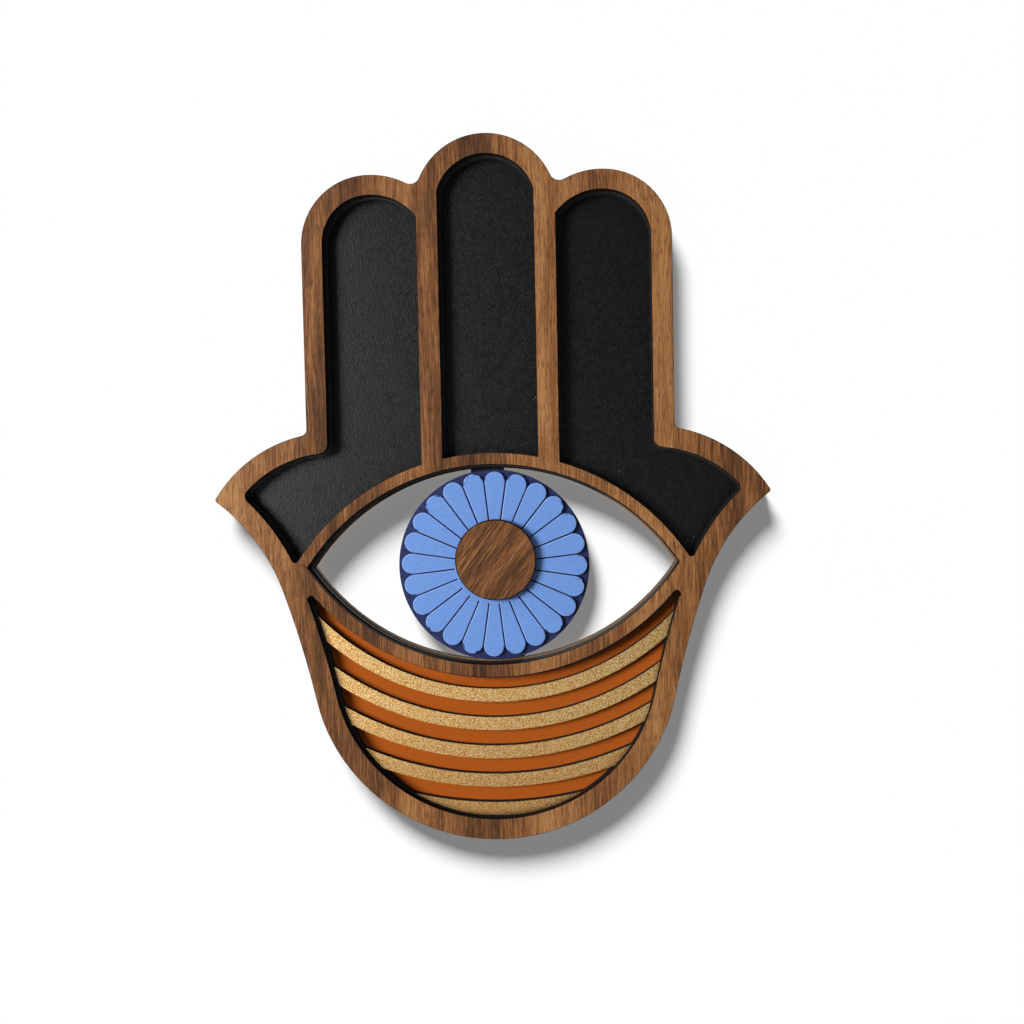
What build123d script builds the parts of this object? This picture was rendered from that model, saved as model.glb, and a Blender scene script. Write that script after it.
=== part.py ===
from build123d import *
import math
import os

# A layered wooden hamsa hand that hangs on a wall.
# X is its width, +Z is up and -Y is the front. The origin is the eye's centre on the board's back face.
# All lengths are in millimetres and all angles in degrees.

# Sheet thicknesses
board_thickness = 3.2
middle_thickness = 3.2
frame_thickness = 3.2
petal_thickness = 1.6
pupil_thickness = 3.2

# Outline of the hand, from the lowest point of the palm up the right side
palm_depth = 100.0
palm_radius = 66.85
palm_angle = 56.9
side_radius = 61.5
flank_radius = 355.0
under_wing_radius = 69.2
under_wing_reach = 67.82
under_wing_z = -30.33
wing_x = 57.35
wing_z = -1.0
wing_radius = 49.6
wing_tip_rounding = 1.0

# Fingers
finger_edge_x = 65.75
finger_root_rounding = 2.4
side_head_z = 114.9
side_head_radius = 24.3
side_head_angle = 82.0
inner_head_radius = 28.1
inner_head_angle = 62.0
middle_head_z = 127.35
middle_head_radius = 25.4
notch_rounding = 3.5

# Walnut bands of the front frame
band_width = 7.5
divider_width = 7.7
middle_cell_width = 34.1
ring_width = 4.15
palm_ring_width = 4.7
cell_root_rounding = 3.5
cell_wing_rounding = 2.6
cell_tip_rounding = 1.2
palm_cell_rounding = 1.35
finger_cell_rise = 0.4

# Eye opening, the lens between two equal arcs
eye_half_height = 36.05
eye_corner_rounding = 0.5

# Rear sheets, glued a little to the right of the front frame and a little low
rear_shift_x = 0.55
rear_shift_z = -0.3
rear_inset = 0.8

# How far the black sheet shows inside every opening of the frame, and the board inside the eye
black_lip = 0.5
board_lip = 1.0

# Web that crosses the board's eye cut-out behind the iris
web_margin = 0.9
upper_bridge_width = 12.0
upper_bridge_x = -2.0
lower_bridge_width = 17.1
lower_bridge_x = 1.7

# Iris, petals and pupil, each glued by hand a little off the eye's centre
iris_clearance = 1.65
iris_x = 0.45
iris_z = -0.35
petal_x = 0.6
petal_z = 0.0
petal_count = 24
petal_start_angle = -1.4
petal_margin = 1.0
petal_slit = 0.5
slit_start_radius = 14.3
pupil_radius = 14.5
pupil_x = 1.15
pupil_z = 1.8

# Gold strips in the lower cell, on arcs about the centre of the eye's lower arc
arc_count = 5
first_arc_gap = 4.45
arc_width = 4.75
last_arc_gap = 0.84
arc_end_clearance = 0.15

# Saw-tooth hanger behind the middle finger
hanger_drop = 5.35
hanger_length = 45.0
hanger_height = 8.0
hanger_gauge = 0.7
hanger_rise = 1.5
hanger_tab = 8.0
hanger_ramp = 3.0
tooth_count = 9
tooth_depth = 1.6
tooth_width = 2.2

# Nails that hold the hanger
nail_head_radius = 1.5
nail_head_thickness = 0.6
nail_shank_radius = 0.5
nail_grip = 2.4
nail_clearance = 0.1

# Felt pads that hold the piece parallel to the wall
pad_radius = 6.0
pad_thickness = 2.3
pad_x = 34.0
pad_rise = 34.0

# Places worked out from the sizes above, for the depth measured forward from the board's back face
middle_depth = board_thickness
frame_depth = middle_depth + middle_thickness
petal_depth = middle_depth + middle_thickness
pupil_depth = petal_depth + petal_thickness
hand_height = palm_depth + middle_head_z + middle_head_radius
half_middle_cell = middle_cell_width / 2
divider_outer_x = half_middle_cell + divider_width
iris_radius = eye_half_height - iris_clearance
petal_reach = iris_radius - petal_margin
hanger_z = middle_head_z - hanger_drop
pad_z = pad_rise - palm_depth

# The eye is as wide as the palm's lower arc
eye_half_width = palm_radius

# Radius of the eye's two arcs, and how far their centres stand above and below the eye
eye_radius = (eye_half_width**2 + eye_half_height**2) / (2 * eye_half_height)
eye_arc_offset = eye_radius - eye_half_height
ring_radius = eye_radius + ring_width
palm_ring_radius = eye_radius + palm_ring_width
full_turn = 360

# Distance from one gold strip to the next, so that the last ends just above the palm cell's lowest point
cell_depth = palm_depth - band_width + eye_arc_offset - palm_ring_radius
arc_pitch = (cell_depth - first_arc_gap - arc_width - last_arc_gap) / (arc_count - 1)

os.makedirs("parts", exist_ok=True)


# Point where two circles meet, on the right of the way from the first centre to the other
def meeting_point(centre, radius, other_centre, other_radius):
    span = math.dist(centre, other_centre)
    along = (radius**2 - other_radius**2 + span**2) / (2 * span)
    aside = math.sqrt(radius**2 - along**2)
    way_x = (other_centre[0] - centre[0]) / span
    way_z = (other_centre[1] - centre[1]) / span
    return (centre[0] + along * way_x + aside * way_z, centre[1] + along * way_z - aside * way_x)


# Point at a distance from another, outward along the normal of an arc that has turned from its lowest point
def along_normal(point, distance, turned):
    heading = math.radians(turned)
    return (point[0] + distance * math.sin(heading), point[1] - distance * math.cos(heading))


# How far an arc has turned from its lowest point where its outward normal points from one place to another
def turned_between(place, other):
    return math.degrees(math.atan2(other[0] - place[0], place[1] - other[1]))


# Centres of the arcs on the right side, from the palm up to the hollow under the wing
eye_arc_top = (0, eye_arc_offset)
side_centre = along_normal((0, palm_radius - palm_depth), palm_radius - side_radius, palm_angle)
hollow_centre = (side_centre[0] + under_wing_reach + under_wing_radius, under_wing_z)
flank_centre = meeting_point(
    side_centre, side_radius + flank_radius, hollow_centre, flank_radius - under_wing_radius
)
side_angle = turned_between(side_centre, flank_centre) - palm_angle
flank_angle = palm_angle + side_angle - turned_between(hollow_centre, flank_centre)

# Centre of the palm cell's blunt right end
palm_cell_end = meeting_point(
    eye_arc_top,
    palm_ring_radius + palm_cell_rounding,
    hollow_centre,
    under_wing_radius + band_width + palm_cell_rounding,
)


# The hand's outline with sharp corners, set in by an inset, with its finger tops raised by a head rise
def sharp_outline(inset, head_rise=0):
    with BuildSketch() as outline:
        with BuildLine():
            palm = JernArc((0, inset - palm_depth), (1, 0), palm_radius - inset, palm_angle)
            side = JernArc(palm @ 1, palm % 1, side_radius - inset, side_angle)
            flank = JernArc(side @ 1, side % 1, flank_radius + inset, -flank_angle)
            hollow_radius = under_wing_radius + inset
            tip = meeting_point(hollow_centre, hollow_radius, (wing_x, wing_z), wing_radius - inset)
            edge_x = finger_edge_x - inset
            root_rise = math.sqrt((wing_radius - inset) ** 2 - (edge_x - wing_x) ** 2)
            under_wing = RadiusArc(flank @ 1, tip, hollow_radius)
            wing = RadiusArc(under_wing @ 1, (edge_x, wing_z + root_rise), inset - wing_radius)
            finger = Line(wing @ 1, (edge_x, side_head_z + head_rise))
            head = JernArc(finger @ 1, (0, 1), side_head_radius - inset, side_head_angle)
            inner_head = JernArc(head @ 1, head % 1, inner_head_radius - inset, inner_head_angle)
            across = Line(inner_head @ 1, (0, (inner_head @ 1).Y))
            Line(across @ 1, palm @ 0)
        make_face()
        mirror(about=Plane.YZ)
        head_z = middle_head_z + head_rise
        with Locations((0, head_z / 2)):
            Rectangle(2 * (middle_head_radius - inset), head_z)
        with Locations((0, head_z)):
            Circle(middle_head_radius - inset)
    return outline.sketch


# The same outline with its corners eased: hollow corners widen with the inset and wing tips tighten
def eased_outline(inset):
    with BuildSketch() as outline:
        add(sharp_outline(inset))
        tips = outline.vertices().sort_by(Axis.X)
        fillet([tips[0], tips[-1]], wing_tip_rounding - inset)
        roots = outline.vertices().filter_by(lambda v: math.isclose(abs(v.X), finger_edge_x - inset))
        fillet(roots.sort_by(Axis.Y)[:2], finger_root_rounding + inset)
        tops = outline.vertices().filter_by(lambda v: v.Y > side_head_z)
        fillet(sorted(tops, key=lambda v: abs(v.X))[:2], notch_rounding + inset)
    return outline.sketch


# The almond between two arcs about the eye's arc centres
def almond(radius, corner_rounding):
    with BuildSketch() as lens:
        with Locations(eye_arc_top):
            Circle(radius)
        with Locations((0, -eye_arc_offset)):
            Circle(radius, mode=Mode.INTERSECT)
        fillet(lens.vertices(), corner_rounding)
    return lens.sketch


# The palm cell, grown outward all round, with round upper ends
def palm_opening(growth):
    with BuildSketch() as opening:
        add(sharp_outline(band_width - growth))
        with Locations(eye_arc_top):
            Circle(palm_ring_radius - growth, mode=Mode.SUBTRACT)
        with BuildLine():
            half_border = Polyline(
                eye_arc_top,
                palm_cell_end,
                hollow_centre,
                (hollow_centre[0], -hand_height),
                (0, -hand_height),
            )
            mirror(half_border, about=Plane.YZ)
        make_face(mode=Mode.INTERSECT)
        with Locations(palm_cell_end, (-palm_cell_end[0], palm_cell_end[1])):
            Circle(palm_cell_rounding + growth)
    return opening.sketch


# The three finger cells, grown outward all round
def finger_openings(growth):
    inner_edge = sharp_outline(band_width - growth, finger_cell_rise)
    ring_edge = almond(ring_radius - growth, eye_corner_rounding)
    cell_edge_x = finger_edge_x - band_width + growth
    with BuildSketch() as side_cell:
        add(inner_edge)
        with Locations((divider_outer_x - growth, 0)):
            Rectangle(hand_height, hand_height, align=(Align.MIN, Align.MIN), mode=Mode.INTERSECT)
        add(ring_edge, mode=Mode.SUBTRACT)
        fillet(side_cell.vertices().sort_by(Axis.X)[-1], cell_wing_rounding + growth)
        fillet(side_cell.vertices().sort_by(Axis.Y)[0], cell_tip_rounding + growth)
        finger_side = side_cell.vertices().filter_by(lambda v: math.isclose(v.X, cell_edge_x))
        fillet(finger_side.sort_by(Axis.Y)[0], cell_root_rounding - growth)
    with BuildSketch() as openings:
        add(inner_edge)
        cell_width = middle_cell_width + 2 * growth
        Rectangle(cell_width, hand_height, align=(Align.CENTER, Align.MIN), mode=Mode.INTERSECT)
        add(ring_edge, mode=Mode.SUBTRACT)
        add(side_cell.sketch)
        add(mirror(side_cell.sketch, about=Plane.YZ, mode=Mode.PRIVATE))
    return openings.sketch


# Planes that face the front, the second for the rear sheets
front_plane = Plane.XZ
rear_plane = Plane(origin=(rear_shift_x, 0, rear_shift_z), x_dir=(1, 0, 0), z_dir=(0, -1, 0))

# Walnut-faced front frame
with BuildPart() as front_frame:
    with BuildSketch(front_plane.offset(frame_depth)):
        add(eased_outline(0))
        add(finger_openings(0), mode=Mode.SUBTRACT)
        add(palm_opening(0), mode=Mode.SUBTRACT)
        add(almond(eye_radius, eye_corner_rounding), mode=Mode.SUBTRACT)
    extrude(amount=frame_thickness)
front_frame.part.label = "front_frame"
export_step(front_frame.part, "parts/front_frame.step")

# Black sheet, with the frame's openings a lip smaller
with BuildPart() as black_sheet:
    with BuildSketch(rear_plane.offset(middle_depth)):
        add(eased_outline(rear_inset))
        add(finger_openings(-black_lip), mode=Mode.SUBTRACT)
        add(almond(eye_radius - black_lip, eye_corner_rounding), mode=Mode.SUBTRACT)
        add(palm_opening(-black_lip), mode=Mode.SUBTRACT)
    extrude(amount=middle_thickness)
black_sheet.part.label = "black_sheet"
export_step(black_sheet.part, "parts/black_sheet.step")

# Gold strips
for number in range(arc_count):
    upper_radius = palm_ring_radius + first_arc_gap + number * arc_pitch
    with BuildPart() as gold_arc:
        with BuildSketch(rear_plane.offset(middle_depth)):
            with Locations(eye_arc_top):
                Circle(upper_radius + arc_width)
                Circle(upper_radius, mode=Mode.SUBTRACT)
            add(palm_opening(-black_lip - arc_end_clearance), mode=Mode.INTERSECT)
        extrude(amount=middle_thickness)
    gold_arc.part.label = f"gold_arc_{number + 1}"
    export_step(gold_arc.part, f"parts/gold_arc_{number + 1}.step")

# The board's two see-through cut-outs, with the web between them
with BuildSketch() as eye_whites:
    add(almond(eye_radius - board_lip, eye_corner_rounding))
    with Locations((iris_x - rear_shift_x, iris_z - rear_shift_z)):
        Circle(iris_radius - web_margin, mode=Mode.SUBTRACT)
    with Locations((upper_bridge_x, 0)):
        Rectangle(
            upper_bridge_width, eye_half_height, align=(Align.CENTER, Align.MIN), mode=Mode.SUBTRACT
        )
    with Locations((lower_bridge_x, 0)):
        Rectangle(
            lower_bridge_width, eye_half_height, align=(Align.CENTER, Align.MAX), mode=Mode.SUBTRACT
        )

# Centres of the hanger's two nails, in its end tabs
nail_x = hanger_length / 2 - hanger_tab / 2
nail_places = [(-nail_x, hanger_z), (nail_x, hanger_z)]

# Back board
with BuildPart() as back_board:
    with BuildSketch(rear_plane):
        add(eased_outline(rear_inset))
        add(eye_whites.sketch, mode=Mode.SUBTRACT)
    extrude(amount=board_thickness)
    with BuildSketch(front_plane):
        with Locations(nail_places):
            Circle(nail_shank_radius + nail_clearance)
    extrude(amount=nail_grip + nail_clearance, mode=Mode.SUBTRACT)
back_board.part.label = "back_board"
export_step(back_board.part, "parts/back_board.step")

# Navy disc of the iris, on the board's web
with BuildPart() as iris_base:
    with BuildSketch(front_plane.offset(middle_depth)):
        with Locations((iris_x, iris_z)):
            Circle(iris_radius)
    extrude(amount=middle_thickness)
iris_base.part.label = "iris_base"
export_step(iris_base.part, "parts/iris_base.step")

# A petal is a wedge with parallel slits beside it and a round end that its sides run into smoothly
petal_angle = math.radians(full_turn / petal_count / 2)
half_slit = petal_slit / 2
petal_end_centre = (petal_reach + half_slit) / (1 + math.sin(petal_angle))
petal_end_radius = petal_reach - petal_end_centre
petal_side_x = petal_end_centre - petal_end_radius * math.sin(petal_angle)
petal_side_y = petal_end_radius * math.cos(petal_angle)
petal_root = half_slit / math.sin(petal_angle)

with BuildSketch() as petal:
    with BuildLine():
        Line((petal_root, 0), (petal_side_x, petal_side_y))
        ThreePointArc((petal_side_x, petal_side_y), (petal_reach, 0), (petal_side_x, -petal_side_y))
        Line((petal_side_x, -petal_side_y), (petal_root, 0))
    make_face()

# Disc of petals, whole inside the slits' ends
with BuildPart() as petal_disc:
    with BuildSketch(front_plane.offset(petal_depth)):
        with Locations((petal_x, petal_z)):
            Circle(slit_start_radius)
            with PolarLocations(0, petal_count, start_angle=petal_start_angle):
                add(petal.sketch)
    extrude(amount=petal_thickness)
petal_disc.part.label = "petal_disc"
export_step(petal_disc.part, "parts/petal_disc.step")

# Walnut pupil
with BuildPart() as pupil_disc:
    with BuildSketch(front_plane.offset(pupil_depth)):
        with Locations((pupil_x, pupil_z)):
            Circle(pupil_radius)
    extrude(amount=pupil_thickness)
pupil_disc.part.label = "pupil_disc"
export_step(pupil_disc.part, "parts/pupil_disc.step")

# Pressed hanger: two flat tabs, and a raised middle with teeth along its lower edge
raised_x = hanger_length / 2 - hanger_tab - hanger_ramp
ramp_end_x = raised_x + hanger_ramp
hanger_back = hanger_rise + hanger_gauge

with BuildPart() as saw_hanger:
    with BuildSketch(Plane.XY.offset(hanger_z - hanger_height / 2)):
        with BuildLine():
            Polyline(
                (0, hanger_rise),
                (raised_x, hanger_rise),
                (ramp_end_x, 0),
                (hanger_length / 2, 0),
                (hanger_length / 2, hanger_gauge),
                (ramp_end_x + hanger_gauge / 2, hanger_gauge),
                (raised_x + hanger_gauge / 2, hanger_back),
                (0, hanger_back),
            )
            mirror(about=Plane.YZ)
        make_face()
    extrude(amount=hanger_height)
    with BuildSketch(front_plane.offset(-hanger_back)):
        with Locations((0, hanger_z - hanger_height / 2)):
            with GridLocations(tooth_width, 0, tooth_count, 1):
                Polygon(
                    (-tooth_width / 2, 0), (tooth_width / 2, 0), (0, tooth_depth), align=None
                )
        with Locations(nail_places):
            Circle(nail_shank_radius + nail_clearance)
    extrude(amount=hanger_back, mode=Mode.SUBTRACT)
saw_hanger.part.label = "saw_hanger"
export_step(saw_hanger.part, "parts/saw_hanger.step")

# Two nails through the tabs into the board
with BuildPart() as hanger_nails:
    with BuildSketch(front_plane.offset(-hanger_gauge - nail_head_thickness)):
        with Locations(nail_places):
            Circle(nail_head_radius)
    extrude(amount=nail_head_thickness)
    with BuildSketch(front_plane.offset(-hanger_gauge)):
        with Locations(nail_places):
            Circle(nail_shank_radius)
    extrude(amount=hanger_gauge + nail_grip)
hanger_nails.part.label = "hanger_nails"
export_step(hanger_nails.part, "parts/hanger_nails.step")

# Felt pads low on the back
with BuildPart() as bumper_pads:
    with BuildSketch(front_plane):
        with Locations((-pad_x, pad_z), (pad_x, pad_z)):
            Circle(pad_radius)
    extrude(amount=-pad_thickness)
bumper_pads.part.label = "bumper_pads"
export_step(bumper_pads.part, "parts/bumper_pads.step")
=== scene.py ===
import bpy
import math
from mathutils import Color, Matrix, Vector

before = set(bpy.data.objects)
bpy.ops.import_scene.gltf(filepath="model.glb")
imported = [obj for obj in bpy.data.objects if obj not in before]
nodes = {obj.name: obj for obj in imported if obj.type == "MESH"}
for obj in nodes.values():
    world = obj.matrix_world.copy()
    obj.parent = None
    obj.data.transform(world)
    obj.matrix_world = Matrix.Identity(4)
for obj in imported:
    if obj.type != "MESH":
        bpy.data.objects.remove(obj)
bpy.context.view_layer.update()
scene = bpy.context.scene
MM = 0.001


def turned_along(direction):
    """Turn that points a camera or lamp along a direction, upright."""
    return Vector(direction).to_track_quat("-Z", "Y")


# Camera, fitted to the photo
PHOTO_PIXELS = 1024
FOCAL_PIXELS = 1188.1
SENSOR_MM = 36.0
VIEW_FROM_MM = 10.0
VIEW_TO_MM = 20000.0
CAMERA_AT_MM = (19.49, -433.84, 40.26)
CAMERA_AIM_MM = (7.364, -9.6, 18.837)
CAMERA_ROLL_DEG = -1.153

camera_data = bpy.data.cameras.new("photo_camera")
camera_data.sensor_width = SENSOR_MM
camera_data.lens = FOCAL_PIXELS / PHOTO_PIXELS * SENSOR_MM
camera_data.clip_start = VIEW_FROM_MM * MM
camera_data.clip_end = VIEW_TO_MM * MM
camera = bpy.data.objects.new("photo_camera", camera_data)
scene.collection.objects.link(camera)
camera.location = Vector(CAMERA_AT_MM) * MM
level_turn = turned_along(Vector(CAMERA_AIM_MM) - Vector(CAMERA_AT_MM)).to_matrix().to_4x4()
camera.rotation_euler = (level_turn @ Matrix.Rotation(math.radians(CAMERA_ROLL_DEG), 4, "Z")).to_euler()
scene.camera = camera

# Colour helpers
FULL_LEVEL = 255


def linear(red, green, blue):
    """A colour of sRGB levels from 0 to 255, as shaders take it."""
    srgb = Color((red / FULL_LEVEL, green / FULL_LEVEL, blue / FULL_LEVEL))
    return (*srgb.from_srgb_to_scene_linear(), 1.0)


def grey(level):
    """A grey of a linear level from 0 to 1."""
    return (level, level, level, 1.0)


# Values that several materials share
SHADER_INPUTS = {"normal": "Normal", "metallic": "Metallic", "specular": "Specular IOR Level"}
NOISE_SPAN = (0.3, 0.7)
NOISE_MIDDLE = 0.5
FRONT_SPAN = (0.80, 0.95)
SCORCH_SCALE = (0.9, 0.25, 0.9)
SCORCH_SPAN = (0.46, 0.72)
STREAK_WEIGHT = 0.7
CHAR = linear(7, 5, 4)

# Sockets of a Mix node that mixes colours
MIX_FIRST = 6
MIX_SECOND = 7
MIX_RESULT = 2

# Node helpers
RISING = (0.0, 1.0)
FALLING = (1.0, 0.0)
NO_TURN = 0.0
NO_SHIFT = (0.0, 0.0, 0.0)
NO_STRETCH = (1.0, 1.0, 1.0)


class NodeTree:
    """The node tree of a material or world, with short calls for the nodes that it is made of."""

    def __init__(self, owner):
        owner.use_nodes = True
        self.tree = owner.node_tree
        self.tree.nodes.clear()

    def new(self, kind):
        return self.tree.nodes.new("ShaderNode" + kind)

    def feed(self, socket, value):
        """Links a socket to another node's output, or sets its number or colour."""
        if isinstance(value, bpy.types.NodeSocket):
            self.tree.links.new(value, socket)
        else:
            socket.default_value = value

    def make(self, kind, *values, **named_values):
        """First output of a new node, whose inputs are fed in order or by name."""
        node = self.new(kind)
        for socket, value in zip(node.inputs, values):
            self.feed(socket, value)
        for name, value in named_values.items():
            self.feed(node.inputs[name], value)
        return node.outputs[0]

    def show(self, output_kind, shader):
        self.feed(self.new(output_kind).inputs["Surface"], shader)

    def calculate(self, operation, *values):
        node = self.new("Math")
        node.operation = operation
        for socket, value in zip(node.inputs, values):
            self.feed(socket, value)
        return node.outputs[0]

    def plus(self, first, second):
        return self.calculate("ADD", first, second)

    def minus(self, first, second):
        return self.calculate("SUBTRACT", first, second)

    def times(self, first, second):
        return self.calculate("MULTIPLY", first, second)

    def weighed(self, *parts):
        """Sum of values, each times its own weight."""
        total = self.times(*parts[0])
        for value, weight in parts[1:]:
            total = self.plus(total, self.times(value, weight))
        return total

    def split(self, vector):
        node = self.new("SeparateXYZ")
        self.feed(node.inputs[0], vector)
        return tuple(node.outputs)

    def remap(self, value, span, onto=RISING, smooth=True):
        """Carries a span of values onto another, and holds those beyond it at the ends."""
        node = self.new("MapRange")
        node.interpolation_type = "SMOOTHSTEP" if smooth else "LINEAR"
        self.feed(node.inputs["Value"], value)
        for end, number in zip(("From Min", "From Max", "To Min", "To Max"), (*span, *onto)):
            node.inputs[end].default_value = number
        return node.outputs[0]


class Look(NodeTree):
    """A material of one Principled shader, which is worked out from places in millimetres."""

    def __init__(self, name):
        self.material = bpy.data.materials.new(name)
        super().__init__(self.material)
        self.shader = self.new("BsdfPrincipled")
        self.show("OutputMaterial", self.shader.outputs[0])
        to_mm = self.new("VectorMath")
        to_mm.operation = "SCALE"
        self.feed(to_mm.inputs[0], self.new("TexCoord").outputs["Object"])
        to_mm.inputs["Scale"].default_value = 1 / MM
        self.place = to_mm.outputs[0]
        self.rearward = self.split(self.new("NewGeometry").outputs["True Normal"])[1]

    def stretch(self, vector, scale, turn_deg=NO_TURN, shift=NO_SHIFT):
        """Turns a vector in the plane of the sheets, then scales and shifts it."""
        turned = self.new("VectorRotate")
        turned.rotation_type = "Y_AXIS"
        self.feed(turned.inputs["Vector"], vector)
        turned.inputs["Angle"].default_value = math.radians(turn_deg)
        return self.make("Mapping", Vector=turned.outputs[0], Scale=scale, Location=shift)

    def noise(self, vector, detail, roughness, scale=1.0, distortion=0.0):
        return self.make(
            "TexNoise",
            Vector=vector,
            Scale=scale,
            Detail=detail,
            Roughness=roughness,
            Distortion=distortion,
        )

    def grain(self, vector, across, along, detail, roughness, shift=NO_SHIFT):
        """Noise drawn out along Z, from its scale per mm across the grain and along it."""
        drawn_out = self.stretch(vector, (across, across, along), shift=shift)
        return self.noise(drawn_out, detail, roughness)

    def ramp(self, value, stops):
        node = self.new("ValToRGB")
        self.feed(node.inputs[0], value)
        bands = node.color_ramp.elements
        while len(bands) < len(stops):
            bands.new(1.0)
        for band, (position, colour) in zip(bands, stops):
            band.position = position
            band.color = colour
        return node.outputs[0]

    def mix(self, share, first, second, blend="MIX"):
        node = self.new("Mix")
        node.data_type = "RGBA"
        node.blend_type = blend
        self.feed(node.inputs[0], share)
        self.feed(node.inputs[MIX_FIRST], first)
        self.feed(node.inputs[MIX_SECOND], second)
        return node.outputs[MIX_RESULT]

    def mottled(self, noise, first, second):
        """One colour that turns into another over most of a noise's range."""
        return self.mix(self.remap(noise, NOISE_SPAN), first, second)

    def bump(self, height, depth_mm, strength):
        return self.make("Bump", Height=height, Distance=depth_mm * MM, Strength=strength)

    def finish(self, colour, roughness, **others):
        """Feeds the shader, and returns the material."""
        self.feed(self.shader.inputs["Base Color"], colour)
        self.feed(self.shader.inputs["Roughness"], roughness)
        for name, value in others.items():
            self.feed(self.shader.inputs[SHADER_INPUTS[name]], value)
        return self.material

    def front_share(self):
        """1 on faces that look to the front, 0 on walls and on the back."""
        return self.remap(self.times(self.rearward, -1.0), FRONT_SPAN)

    def rough_walls(self, front, roughness):
        """A roughness for the front, and full roughness for the walls."""
        return self.plus(self.times(front, roughness), self.minus(1.0, front))

    def charred_wall(self, dark, brown):
        """Laser-cut wall: char with brown scorch that runs through the sheet's thickness."""
        streak = self.noise(self.stretch(self.place, SCORCH_SCALE), detail=3.0, roughness=0.6)
        fleck = self.noise(self.place, scale=2.6, detail=2.0, roughness=0.6)
        scorch = self.weighed((streak, STREAK_WEIGHT), (fleck, 1.0 - STREAK_WEIGHT))
        return self.mix(self.remap(scorch, SCORCH_SPAN), dark, brown)


# Walnut veneer
WALNUT_TONES = (
    (0.36, linear(68, 40, 22)),
    (0.45, linear(104, 65, 36)),
    (0.51, linear(136, 87, 48)),
    (0.57, linear(162, 108, 62)),
    (0.66, linear(188, 134, 82)),
)
WALNUT_PORE = linear(58, 35, 21)
WALNUT_SCORCH = linear(24, 16, 11)
WANDER_SCALE = (0.035, 0.035, 0.012)
WANDER_MM = 9.0
BAND_WEIGHT = 0.36
FIBRE_WEIGHT = 0.40
HAIR_WEIGHT = 0.26
PORE_SHIFT = (7.0, 0.0, 3.0)
PORE_BLUR = 0.09
PORE_SHARE = 0.50
HAIR_RELIEF = 0.5
PORE_RELIEF = 0.6
WALNUT_LEVELS = (0.40, 0.66)
WALNUT_ROUGHNESS = (0.64, 0.50)

# Broad light and dark stripes of the frame's veneer: place from left to right, and lightness
STRIPE_REACH_MM = 100.0
STRIPE_WEIGHT = 0.28
FRAME_STRIPES = (
    (-87, 0.98),
    (-62, 0.44),
    (-43, 0.30),
    (-37, 0.34),
    (-29, 0.74),
    (-20, 0.55),
    (2, 0.24),
    (22, 0.84),
    (42, 0.48),
    (62, 0.86),
    (88, 0.40),
)


def veneer_stripes(look, across_mm):
    """Lightness of the frame's stripes, a ramp from the left reach to the right one."""
    share = look.remap(across_mm, (-STRIPE_REACH_MM, STRIPE_REACH_MM), smooth=False)
    width_mm = 2 * STRIPE_REACH_MM
    stops = [((at_mm + STRIPE_REACH_MM) / width_mm, grey(shade)) for at_mm, shade in FRAME_STRIPES]
    return look.ramp(share, stops)


def walnut(name, turn_deg=NO_TURN, shift=NO_SHIFT, tone=0.0, figure=1.0, pore_from=0.55, striped=False):
    """Walnut of a grain direction, tone, strength of figure, and amount of pores."""
    look = Look(name)
    drift = look.stretch(look.place, WANDER_SCALE, turn_deg, shift)
    wander = look.noise(drift, detail=2.0, roughness=0.5)
    x, y, z = look.split(look.stretch(look.place, NO_STRETCH, turn_deg, shift))
    x = look.plus(x, look.times(wander, WANDER_MM))
    wavy = look.make("CombineXYZ", x, y, z)
    bands = look.grain(wavy, across=0.20, along=0.014, detail=3.0, roughness=0.55)
    fibre = look.grain(wavy, across=1.15, along=0.06, detail=4.0, roughness=0.70)
    hair = look.grain(wavy, across=2.3, along=0.11, detail=2.0, roughness=0.6)
    pores = look.grain(wavy, across=2.5, along=0.26, detail=1.0, roughness=0.5, shift=PORE_SHIFT)
    level = look.weighed((bands, BAND_WEIGHT * figure), (fibre, FIBRE_WEIGHT), (hair, HAIR_WEIGHT))
    level = look.plus(level, tone + BAND_WEIGHT * (1.0 - figure) * NOISE_MIDDLE)
    if striped:
        stripe = look.minus(veneer_stripes(look, x), NOISE_MIDDLE)
        level = look.plus(level, look.times(stripe, STRIPE_WEIGHT))
    pore = look.remap(pores, (pore_from, pore_from + PORE_BLUR))
    veneer = look.mix(look.times(pore, PORE_SHARE), look.ramp(level, WALNUT_TONES), WALNUT_PORE)
    front = look.front_share()
    colour = look.mix(front, look.charred_wall(CHAR, WALNUT_SCORCH), veneer)
    roughness = look.rough_walls(front, look.remap(level, WALNUT_LEVELS, WALNUT_ROUGHNESS))
    relief = look.minus(look.plus(fibre, look.times(hair, HAIR_RELIEF)), look.times(pore, PORE_RELIEF))
    normal = look.bump(look.times(relief, front), depth_mm=0.08, strength=0.6)
    return look.finish(colour, roughness, normal=normal, specular=0.22)


# Matte black paint, with a little dust on it
BLACK = (linear(3, 3, 4), linear(6, 6, 6))
BLACK_GRIT_SPAN = (0.35, 0.7)
DUST = linear(190, 170, 150)
DUST_SCALE = 0.17
DUST_EDGE = (0.024, 0.034)
DUST_SHARE = 0.6
BLACK_ROUGHNESS = (0.325, 0.365)
GRIT_SPAN = (0.35, 0.65)
GRIT_ROUGHNESS = (-0.03, 0.04)
SHEET_EXTRA_ROUGHNESS = 0.28
PAINT_DEPTH_MM = 0.16
PAINT_RELIEF = 0.6


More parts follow.
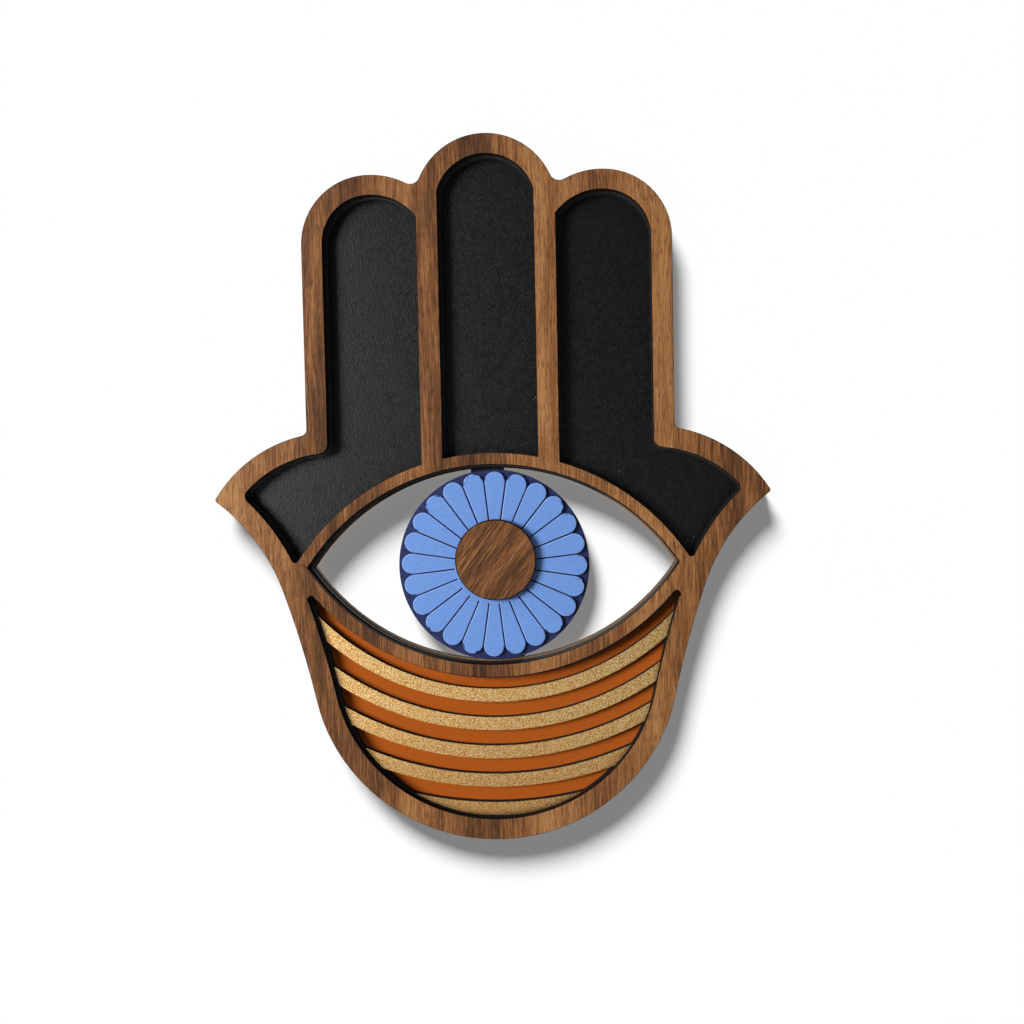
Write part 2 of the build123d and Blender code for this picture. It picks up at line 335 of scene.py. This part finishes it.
def black_coat(look):
    """Colour, roughness and relief of the paint on any face."""
    grit = look.noise(look.place, scale=1.7, detail=3.0, roughness=0.65)
    blotch = look.noise(look.place, scale=0.35, detail=2.0, roughness=0.5)
    paint = look.mix(look.remap(grit, BLACK_GRIT_SPAN), *BLACK)
    speck_distance = look.make("TexVoronoi", Vector=look.place, Scale=DUST_SCALE)
    dust = look.remap(speck_distance, DUST_EDGE, FALLING)
    colour = look.mix(look.times(dust, DUST_SHARE), paint, DUST)
    patches = look.remap(blotch, NOISE_SPAN, BLACK_ROUGHNESS)
    roughness = look.plus(patches, look.remap(grit, GRIT_SPAN, GRIT_ROUGHNESS))
    return colour, roughness, grit


def black_paint():
    """Paint of the black sheet, which is rougher than the paint on the board behind it."""
    look = Look("black_paint")
    colour, roughness, grit = black_coat(look)
    front = look.front_share()
    roughness = look.rough_walls(front, look.plus(roughness, SHEET_EXTRA_ROUGHNESS))
    normal = look.bump(look.times(grit, front), PAINT_DEPTH_MM, PAINT_RELIEF)
    return look.finish(colour, roughness, normal=normal, specular=0.5)


# Plywood board, bare round the eye, black in the finger cells and burnt orange in the palm
EYE_ARC_OFFSET_MM = 44.0
LID_RADIUS_MM = 82.0
LID_BLUR_MM = 0.4
PLY = (linear(176, 138, 96), linear(205, 170, 126))
BOARD_CHAR = linear(20, 13, 9)
BOARD_SCORCH = linear(84, 58, 36)
ORANGE = (linear(185, 87, 2), linear(196, 95, 6))
LIP_BARE = linear(150, 117, 84)
# The board's bare lip turns dark above these heights
LIP_DARK = linear(20, 17, 15)
LIP_DARK_FROM_MM = (20.0, 26.0)
PALM_ENDS_MM = (-6.0, -5.0)
REAR_SPAN = (0.5, 0.9)
BOARD_ROUGHNESS = 0.95
FUZZ_RELIEF = 0.3


def beyond_lid(look, centre_z_mm):
    """1 outside the circle that an eyelid runs along, about a centre on the Z axis."""
    x, _, z = look.split(look.place)
    rise = look.minus(z, centre_z_mm)
    distance = look.calculate("SQRT", look.plus(look.times(x, x), look.times(rise, rise)))
    return look.remap(distance, (LID_RADIUS_MM, LID_RADIUS_MM + LID_BLUR_MM))


def board():
    look = Look("board")
    front = look.front_share()
    height_mm = look.split(look.place)[2]
    in_palm = look.remap(height_mm, PALM_ENDS_MM, FALLING)
    in_fingers = look.remap(height_mm, PALM_ENDS_MM)
    palm = look.times(look.times(beyond_lid(look, EYE_ARC_OFFSET_MM), in_palm), front)
    cells = look.times(look.times(beyond_lid(look, -EYE_ARC_OFFSET_MM), in_fingers), front)
    ply = look.mottled(look.grain(look.place, across=0.9, along=0.07, detail=3.0, roughness=0.6), *PLY)
    # The lip is darker towards its top
    lip = look.mix(look.remap(height_mm, LIP_DARK_FROM_MM), LIP_BARE, LIP_DARK)
    lip_and_walls = look.mix(front, look.charred_wall(BOARD_CHAR, BOARD_SCORCH), lip)
    bare = look.mix(look.remap(look.rearward, REAR_SPAN), lip_and_walls, ply)
    fuzz = look.noise(look.place, scale=1.6, detail=3.0, roughness=0.6)
    orange = look.mottled(fuzz, *ORANGE)
    black, black_roughness, grit = black_coat(look)
    colour = look.mix(cells, look.mix(palm, bare, orange), black)
    roughness = look.weighed((cells, black_roughness), (look.minus(1.0, cells), BOARD_ROUGHNESS))
    relief = look.weighed((fuzz, FUZZ_RELIEF), (grit, cells))
    flat_share = look.calculate("ABSOLUTE", look.rearward)
    normal = look.bump(look.times(relief, flat_share), PAINT_DEPTH_MM, PAINT_RELIEF)
    return look.finish(colour, roughness, normal=normal, specular=0.5)


# Gold glitter, with painted shade that darkens it towards the bottom of the palm
GOLD_TONES = (
    (0.38, linear(186, 108, 44)),
    (0.46, linear(244, 176, 92)),
    (0.54, linear(255, 216, 134)),
    (0.62, linear(255, 250, 206)),
)
GOLD_SCORCH = linear(26, 16, 9)
# Painted shade: a darker tint multiplied into the gold towards the bottom of the palm
PAINTED_SHADE_TINT = linear(176, 146, 112)
PAINTED_SHADE_SPAN_MM = (-92.0, -50.0)
PAINTED_SHADE_SHARES = (0.55, 0.0)
FLAKE_SCALE = 2.4
SPARKLE_WEIGHT = 0.5
GOLD_GRAIN_RELIEF = 0.6
GOLD_METAL = 0.94
GOLD_ROUGHNESS = 0.37


def gold_glitter():
    look = Look("gold_glitter")
    front = look.front_share()
    flakes = look.make("TexVoronoi", Vector=look.place, Scale=FLAKE_SCALE)
    sparkle = look.noise(look.place, scale=1.7, detail=2.0, roughness=0.7)
    fine = look.noise(look.place, scale=3.4, detail=1.0, roughness=0.6)
    level = look.weighed((sparkle, SPARKLE_WEIGHT), (fine, 1.0 - SPARKLE_WEIGHT))
    # Painted shade, which grows towards the bottom of the palm
    painted_shade = look.remap(look.split(look.place)[2], PAINTED_SHADE_SPAN_MM, PAINTED_SHADE_SHARES, smooth=False)
    gold = look.mix(painted_shade, look.ramp(level, GOLD_TONES), PAINTED_SHADE_TINT, "MULTIPLY")
    colour = look.mix(front, look.charred_wall(CHAR, GOLD_SCORCH), gold)
    relief = look.plus(flakes, look.times(fine, GOLD_GRAIN_RELIEF))
    normal = look.bump(look.times(relief, front), depth_mm=0.08, strength=0.6)
    metallic = look.times(front, GOLD_METAL)
    roughness = look.rough_walls(front, GOLD_ROUGHNESS)
    return look.finish(colour, roughness, normal=normal, metallic=metallic, specular=0.5)


# Navy paint of the iris
NAVY_TONES = ((0.36, linear(9, 13, 44)), (0.50, linear(20, 29, 80)), (0.62, linear(50, 66, 130)))
NAVY_CHAR = linear(46, 34, 26)
NAVY_SCORCH = linear(128, 98, 62)
NAVY_ROUGHNESS = 0.55


def navy_paint():
    look = Look("navy_paint")
    front = look.front_share()
    speck = look.noise(look.place, scale=3.0, detail=2.0, roughness=0.7)
    colour = look.mix(front, look.charred_wall(NAVY_CHAR, NAVY_SCORCH), look.ramp(speck, NAVY_TONES))
    normal = look.bump(look.times(speck, front), depth_mm=0.06, strength=0.5)
    return look.finish(colour, look.rough_walls(front, NAVY_ROUGHNESS), normal=normal, specular=0.35)


# Light blue paint of the petals, with a painted highlight of paler blue on their rounded rims
BLUE = (linear(112, 157, 234), linear(124, 168, 243))
# Painted highlight: the paler blue of the rounded rims
PAINTED_RIM_HIGHLIGHT = linear(176, 206, 255)
RIM_HIGHLIGHT_SHARE = 0.6
RIM_STARTS = (0.20, 0.45)
RIM_ENDS = (0.955, 0.995)
BRUSH_SCALE = (0.3, 0.3, 1.2)
BRUSH_TURN_DEG = 40.0
BLUE_ROUGHNESS = 0.44


def blue_paint():
    look = Look("blue_paint")
    peel = look.noise(look.place, scale=1.1, detail=3.0, roughness=0.6)
    brushed = look.stretch(look.place, BRUSH_SCALE, BRUSH_TURN_DEG)
    brush = look.noise(brushed, detail=3.0, roughness=0.6)
    outward = look.times(look.rearward, -1.0)
    # Painted highlight on the bevelled rims, between the front and the walls
    rim_highlight = look.times(look.remap(outward, RIM_STARTS), look.remap(outward, RIM_ENDS, FALLING))
    colour = look.mix(look.times(rim_highlight, RIM_HIGHLIGHT_SHARE), look.mottled(peel, *BLUE), PAINTED_RIM_HIGHLIGHT)
    normal = look.bump(look.plus(peel, brush), depth_mm=0.03, strength=0.5)
    return look.finish(colour, BLUE_ROUGHNESS, normal=normal, specular=0.5)


# Galvanised steel of the hanger and its nails
STEEL = (linear(150, 149, 146), linear(178, 177, 173))
SCRATCH_SCALE = (0.4, 4.0, 6.0)
STEEL_ROUGHNESS = (0.30, 0.46)


def steel():
    look = Look("steel")
    scratched = look.stretch(look.place, SCRATCH_SCALE)
    scratch = look.noise(scratched, detail=3.0, roughness=0.6)
    bloom = look.noise(look.place, scale=0.7, detail=3.0, roughness=0.6)
    roughness = look.remap(scratch, NOISE_SPAN, STEEL_ROUGHNESS)
    normal = look.bump(scratch, depth_mm=0.02, strength=0.4)
    return look.finish(look.mottled(bloom, *STEEL), roughness, normal=normal, metallic=1.0)


# Grey felt of the pads
FELT = (linear(70, 66, 62), linear(112, 106, 100))
FELT_ROUGHNESS = 0.95


def felt():
    look = Look("felt")
    fibre = look.noise(look.place, scale=1.8, detail=4.0, roughness=0.7, distortion=1.5)
    nap = look.noise(look.place, scale=5.0, detail=2.0, roughness=0.7)
    normal = look.bump(look.plus(fibre, nap), depth_mm=0.25, strength=0.8)
    return look.finish(look.mottled(fibre, *FELT), FELT_ROUGHNESS, normal=normal, specular=0.1)


# Dressing of the nodes
PUPIL_SHIFT = (31.0, 0.0, 12.0)


def dress(material, *node_names):
    for node_name in node_names:
        for slot in nodes[node_name].material_slots:
            slot.material = material


dress(walnut("walnut_frame", striped=True), "front_frame")
dress(
    walnut("walnut_pupil", turn_deg=-38.0, shift=PUPIL_SHIFT, tone=-0.03, figure=1.05, pore_from=0.50),
    "pupil_disc",
)
dress(black_paint(), "black_sheet")
dress(board(), "back_board")
dress(navy_paint(), "iris_base")
dress(blue_paint(), "petal_disc")
dress(steel(), "saw_hanger", "hanger_nails")
dress(felt(), "bumper_pads")
dress(gold_glitter(), *[name for name in nodes if name.startswith("gold_arc")])

# Softened edges
SAME_POINT_MM = 0.002
SHARP_EDGE_DEG = 40.0


def soften(node_name, width_mm, segments):
    """Rounds a node's sharp edges, as sanding or a thick coat of paint does."""
    weld = nodes[node_name].modifiers.new("joined_corners", "WELD")
    weld.merge_threshold = SAME_POINT_MM * MM
    bevel = nodes[node_name].modifiers.new("soft_edges", "BEVEL")
    bevel.limit_method = "ANGLE"
    bevel.angle_limit = math.radians(SHARP_EDGE_DEG)
    bevel.width = width_mm * MM
    bevel.segments = segments
    bevel.use_clamp_overlap = False
    shading = nodes[node_name].modifiers.new("smooth_edges", "WEIGHTED_NORMAL")
    shading.keep_sharp = False


soften("petal_disc", width_mm=0.24, segments=3)
soften("front_frame", width_mm=0.16, segments=1)
soften("pupil_disc", width_mm=0.32, segments=1)

# Wall and floor
WALL_Y_MM = 2.4
WALL_HALF_MM = 900.0
WALL_SHADE = grey(0.15)
WALL_GLOW = 0.205
FLOOR_Z_MM = -260.0
FLOOR_HALF_MM = 1200.0
FLOOR_SHADES = (grey(0.80), grey(0.84))
FLOOR_BOUNCE = grey(0.12)
FLOOR_ROUGHNESS = 0.8


def plane(name, material, corners_mm):
    mesh = bpy.data.meshes.new(name)
    mesh.from_pydata([Vector(corner) * MM for corner in corners_mm], [], [(0, 1, 2, 3)])
    mesh.materials.append(material)
    made = bpy.data.objects.new(name, mesh)
    scene.collection.objects.link(made)
    return made


def wall_material():
    """White plaster that only camera and glossy rays from the front meet, so the back stays in view."""
    material = bpy.data.materials.new("plain_wall")
    tree = NodeTree(material)
    paint = tree.make("BsdfDiffuse", Color=WALL_SHADE)
    plaster = tree.make("AddShader", paint, tree.make("Emission", Strength=WALL_GLOW))
    rays = tree.new("LightPath").outputs
    seen = tree.calculate("MAXIMUM", rays["Is Camera Ray"], rays["Is Glossy Ray"])
    from_front = tree.minus(1.0, tree.new("NewGeometry").outputs["Backfacing"])
    shown = tree.times(seen, from_front)
    tree.show("OutputMaterial", tree.make("MixShader", shown, tree.make("BsdfTransparent"), plaster))
    return material


def floor_material():
    """Pale floor that throws little light back up at the ornament."""
    look = Look("pale_floor")
    haze = look.noise(look.place, scale=0.004, detail=2.0, roughness=0.5)
    bounced = look.new("LightPath").outputs["Is Diffuse Ray"]
    colour = look.mix(bounced, look.mix(haze, *FLOOR_SHADES), FLOOR_BOUNCE)
    return look.finish(colour, FLOOR_ROUGHNESS, specular=0.2)


wall = plane(
    "wall",
    wall_material(),
    [
        (-WALL_HALF_MM, WALL_Y_MM, FLOOR_Z_MM),
        (WALL_HALF_MM, WALL_Y_MM, FLOOR_Z_MM),
        (WALL_HALF_MM, WALL_Y_MM, WALL_HALF_MM),
        (-WALL_HALF_MM, WALL_Y_MM, WALL_HALF_MM),
    ],
)
floor = plane(
    "floor",
    floor_material(),
    [
        (-FLOOR_HALF_MM, -FLOOR_HALF_MM, FLOOR_Z_MM),
        (FLOOR_HALF_MM, -FLOOR_HALF_MM, FLOOR_Z_MM),
        (FLOOR_HALF_MM, FLOOR_HALF_MM, FLOOR_Z_MM),
        (-FLOOR_HALF_MM, FLOOR_HALF_MM, FLOOR_Z_MM),
    ],
)

# Lamps: three for the ornament and the floor, and a sun for the wall's white and the drop shadow
HAND_CENTRE_MM = (0.0, 0.0, 26.0)


def collection_of(name, members):
    made = bpy.data.collections.new(name)
    for member in members:
        made.objects.link(member)
    return made


def lamp(data, receivers, direction):
    """Adds a lamp that points along a direction and lights its receivers alone."""
    made = bpy.data.objects.new(data.name, data)
    scene.collection.objects.link(made)
    made.rotation_euler = turned_along(direction).to_euler()
    made.light_linking.receiver_collection = receivers
    return made


def round_lamp(name, receivers, at_mm, size_mm, watts):
    """Adds a disc of light that points at the middle of the hand."""
    data = bpy.data.lights.new(name, "AREA")
    data.shape = "DISK"
    data.size = size_mm * MM
    data.energy = watts
    made = lamp(data, receivers, Vector(HAND_CENTRE_MM) - Vector(at_mm))
    made.location = Vector(at_mm) * MM


def sun(name, receivers, direction, spread_deg, strength):
    data = bpy.data.lights.new(name, "SUN")
    data.angle = math.radians(spread_deg)
    data.energy = strength
    lamp(data, receivers, direction)


ornament_group = collection_of("lit_ornament", [*nodes.values(), floor])
wall_group = collection_of("lit_wall", [wall])
round_lamp("key_left", ornament_group, at_mm=(-1100.0, -1180.0, 250.0), size_mm=720.0, watts=25.6)
round_lamp("key_top", ornament_group, at_mm=(-320.0, -640.0, 860.0), size_mm=420.0, watts=1.2)
round_lamp("back_fill", ornament_group, at_mm=(300.0, 1100.0, 700.0), size_mm=900.0, watts=18.0)
sun("wall_shadow", wall_group, direction=(0.47, 1.0, -1.2), spread_deg=20.0, strength=26.6)

# World
WHITE = grey(1.0)
WORLD_LIGHT = 0.08
WORLD_GLOSS = 0.05
SKYLINE_BLUR = (-0.15, 0.15)


def plain_world():
    """White to the camera, through glass and in gleams from the rear, and dim to all other rays."""
    world = bpy.data.worlds.new("plain_world")
    tree = NodeTree(world)
    rays = tree.new("LightPath").outputs
    seen = tree.calculate("MAXIMUM", rays["Is Camera Ray"], rays["Is Transmission Ray"])
    strength = tree.plus(tree.times(rays["Is Glossy Ray"], WORLD_GLOSS - WORLD_LIGHT), WORLD_LIGHT)
    rearward = tree.split(tree.new("TexCoord").outputs["Generated"])[1]
    from_rear = tree.remap(rearward, SKYLINE_BLUR, smooth=False)
    white_share = tree.plus(tree.times(rays["Is Glossy Ray"], from_rear), seen)
    dim = tree.make("Background", Color=WHITE, Strength=strength)
    white = tree.make("Background", Color=WHITE)
    tree.show("OutputWorld", tree.make("MixShader", white_share, dim, white))
    return world


scene.world = plain_world()
scene.view_settings.view_transform = "Standard"
